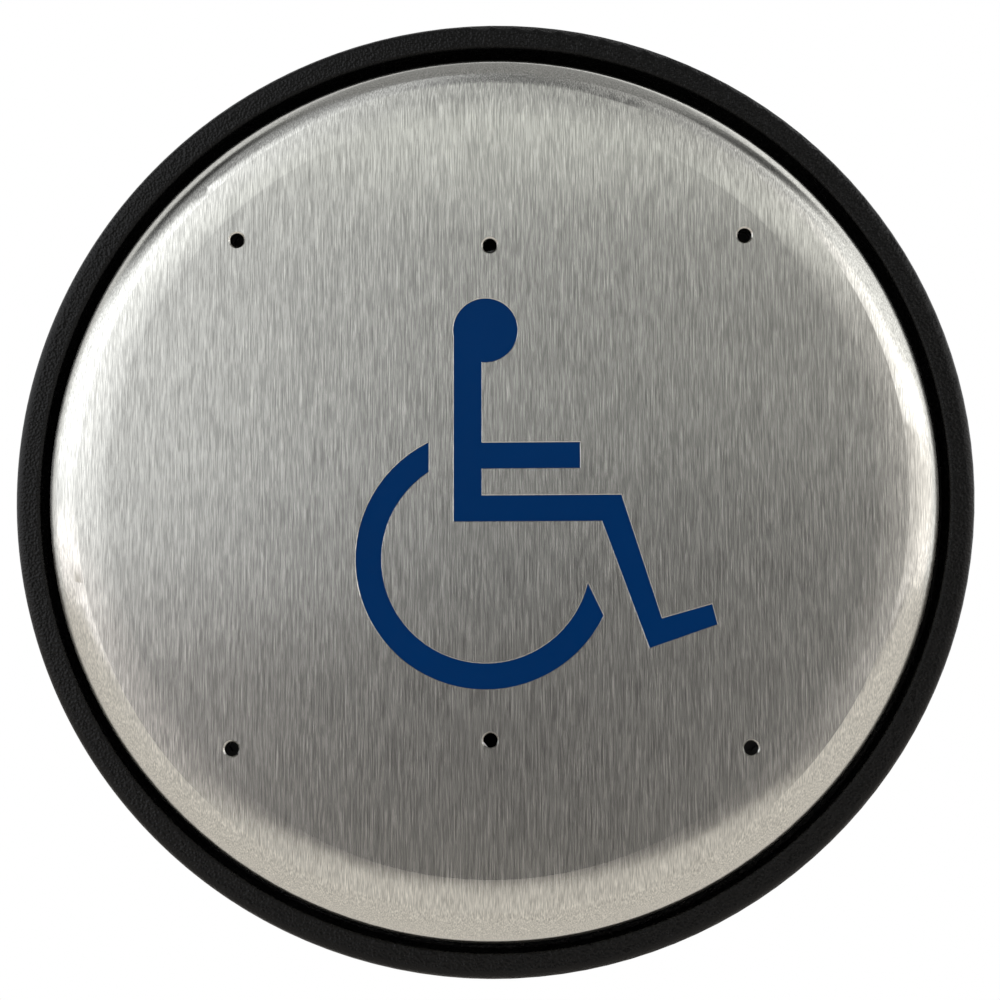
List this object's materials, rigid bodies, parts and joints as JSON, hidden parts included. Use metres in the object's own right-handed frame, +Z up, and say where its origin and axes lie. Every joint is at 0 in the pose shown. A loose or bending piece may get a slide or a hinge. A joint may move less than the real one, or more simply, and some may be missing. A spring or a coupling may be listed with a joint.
{
  "type": "round push plate switch",
  "caption": "Round brushed stainless push plate with a recessed access symbol, sprung over a black rimmed base with a lever switch that hangs into the wall box.",
  "frame": {"origin": "centre of the base in the wall plane, midway between the two wall box screws", "axes": "+Z up the wall, +Y into the wall, the face looks along -Y, +X to the right as seen from in front"},
  "size_m": [0.164, 0.0393, 0.164],
  "materials": {
    "brushed_stainless": "brushed with a vertical grain",
    "blue_enamel": "satin enamel fill",
    "stainless": "machined",
    "zinc_steel": "zinc plated",
    "black_oxide": "blackened alloy steel",
    "white_acetal": "moulded, natural",
    "black_abs": "moulded, fine pebble texture",
    "foam_rubber": "closed-cell foam",
    "brass": "plain",
    "spring_steel": "plain",
    "black_rubber": "matt",
    "phenolic": "moulded",
    "switch_plastic": "moulded",
    "silver": "plain",
    "copper_alloy": "rolled strip",
    "red_plastic": "moulded"
  },
  "bodies": {
    "base": {"base_moulding": "black_abs", "wall_gasket": "foam_rubber", "threaded_inserts": "brass", "shoulder_screws": "black_oxide", "return_springs": "spring_steel", "stop_pads": "black_rubber", "switch_bracket": "zinc_steel", "bracket_screws": "zinc_steel", "switch_case": "phenolic", "switch_cover": "switch_plastic", "switch_screws": "zinc_steel", "switch_nuts": "zinc_steel", "terminal_common": "brass", "terminal_normally_open": "brass", "terminal_normally_closed": "brass", "fixed_contacts": "silver", "snap_spring": "spring_steel", "lever_pin": "stainless"},
    "push_plate": {"face_plate": "brushed_stainless", "symbol_inlay": "blue_enamel", "weld_studs": "stainless", "spacer_sleeves": "zinc_steel", "carrier_plate": "zinc_steel", "carrier_washers": "zinc_steel", "carrier_nuts": "zinc_steel", "guide_bushes": "white_acetal", "striker_screw": "stainless", "striker_locknut": "zinc_steel"},
    "lever": {"switch_lever": "spring_steel"},
    "plunger": {"switch_plunger": "red_plastic"},
    "blade": {"contact_blade": "copper_alloy", "moving_contact": "silver"}
  },
  "joints": [
    {"name": "plate_press", "type": "slide", "parent": "base", "child": "push_plate", "axis": [0, 1, 0], "range_m": [0, 0.0025], "stiffness_N_per_m": 2880, "springref_m": -0.0017, "deforming": ["return_springs"]},
    {"name": "lever_swing", "type": "hinge", "parent": "base", "child": "lever", "pos_m": [-0.018, -0.0038, 0], "axis": [0, 0, 1], "range_deg": [0, 8]},
    {"name": "plunger_push", "type": "slide", "parent": "base", "child": "plunger", "axis": [0, 1, 0], "range_m": [0, 0.00083]},
    {"name": "blade_swing", "type": "hinge", "parent": "base", "child": "blade", "pos_m": [-0.0145, 0.005, 0], "axis": [0, 0, 1], "range_deg": [0, 2.2], "deforming": ["snap_spring"]}
  ],
  "couplings": [
    {"joint": "lever_swing", "follows": "plate_press", "rad_per_m": 55.85},
    {"joint": "plunger_push", "follows": "plate_press", "ratio": 0.3313},
    {"joint": "blade_swing", "follows": "plate_press", "rad_per_m": 15.358}
  ]
}
